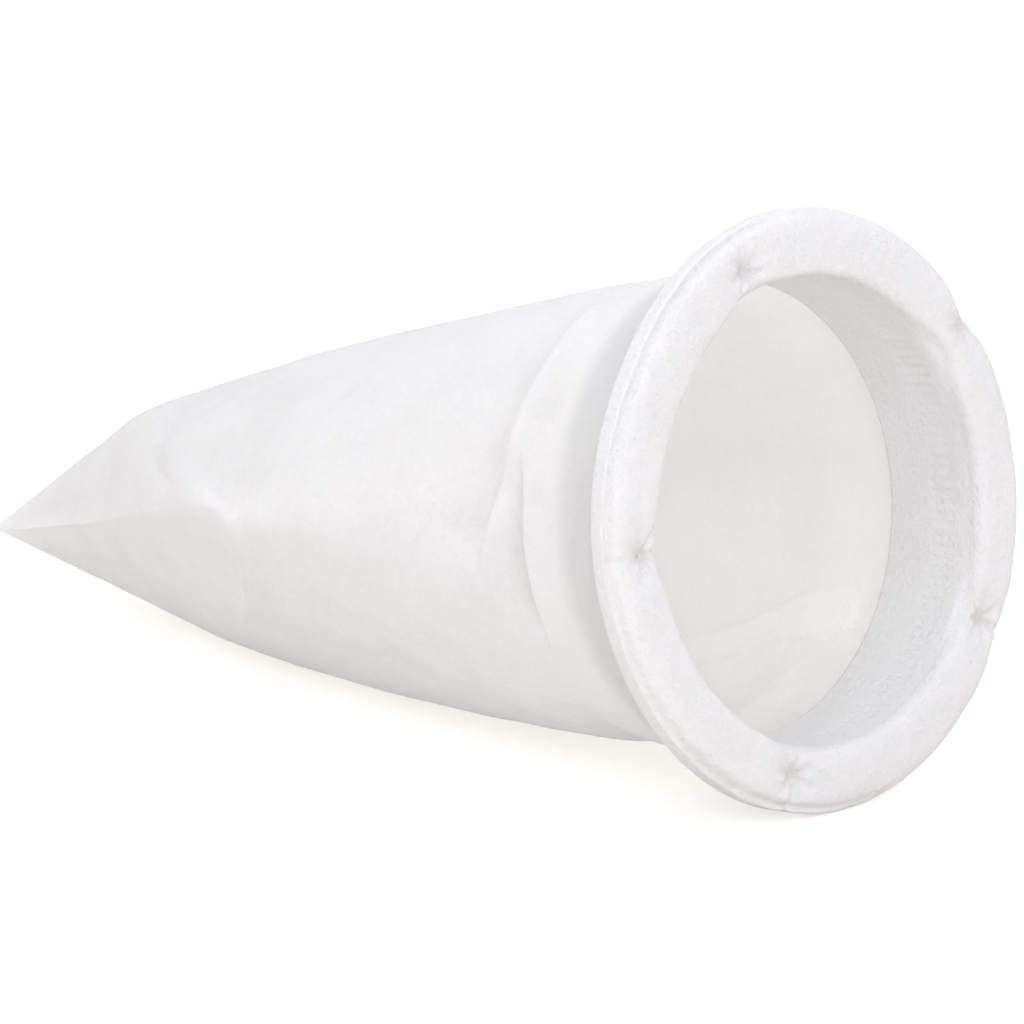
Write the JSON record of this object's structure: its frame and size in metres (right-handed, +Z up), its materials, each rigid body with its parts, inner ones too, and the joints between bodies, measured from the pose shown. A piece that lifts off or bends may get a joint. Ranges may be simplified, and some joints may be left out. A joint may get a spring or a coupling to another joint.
{
  "type": "liquid filter bag",
  "caption": "Needle-felt liquid filter bag with a pointed end, held open by a felt-covered ring flange that seats in a filter housing.",
  "frame": {"origin": "under the middle of the whole bag, on the surface that it lies on", "axes": "+X towards the mouth, +Y across the bag, +Z up"},
  "size_m": [0.4536, 0.179, 0.1781],
  "materials": {
    "bag_felt": "white needle felt, lightly calendered",
    "flange_felt": "white needle felt, soft face",
    "ring_steel": "galvanised wire"
  },
  "bodies": {
    "root": {"filter_body": "bag_felt", "flange_cover": "flange_felt", "support_ring": "ring_steel"}
  },
  "joints": []
}
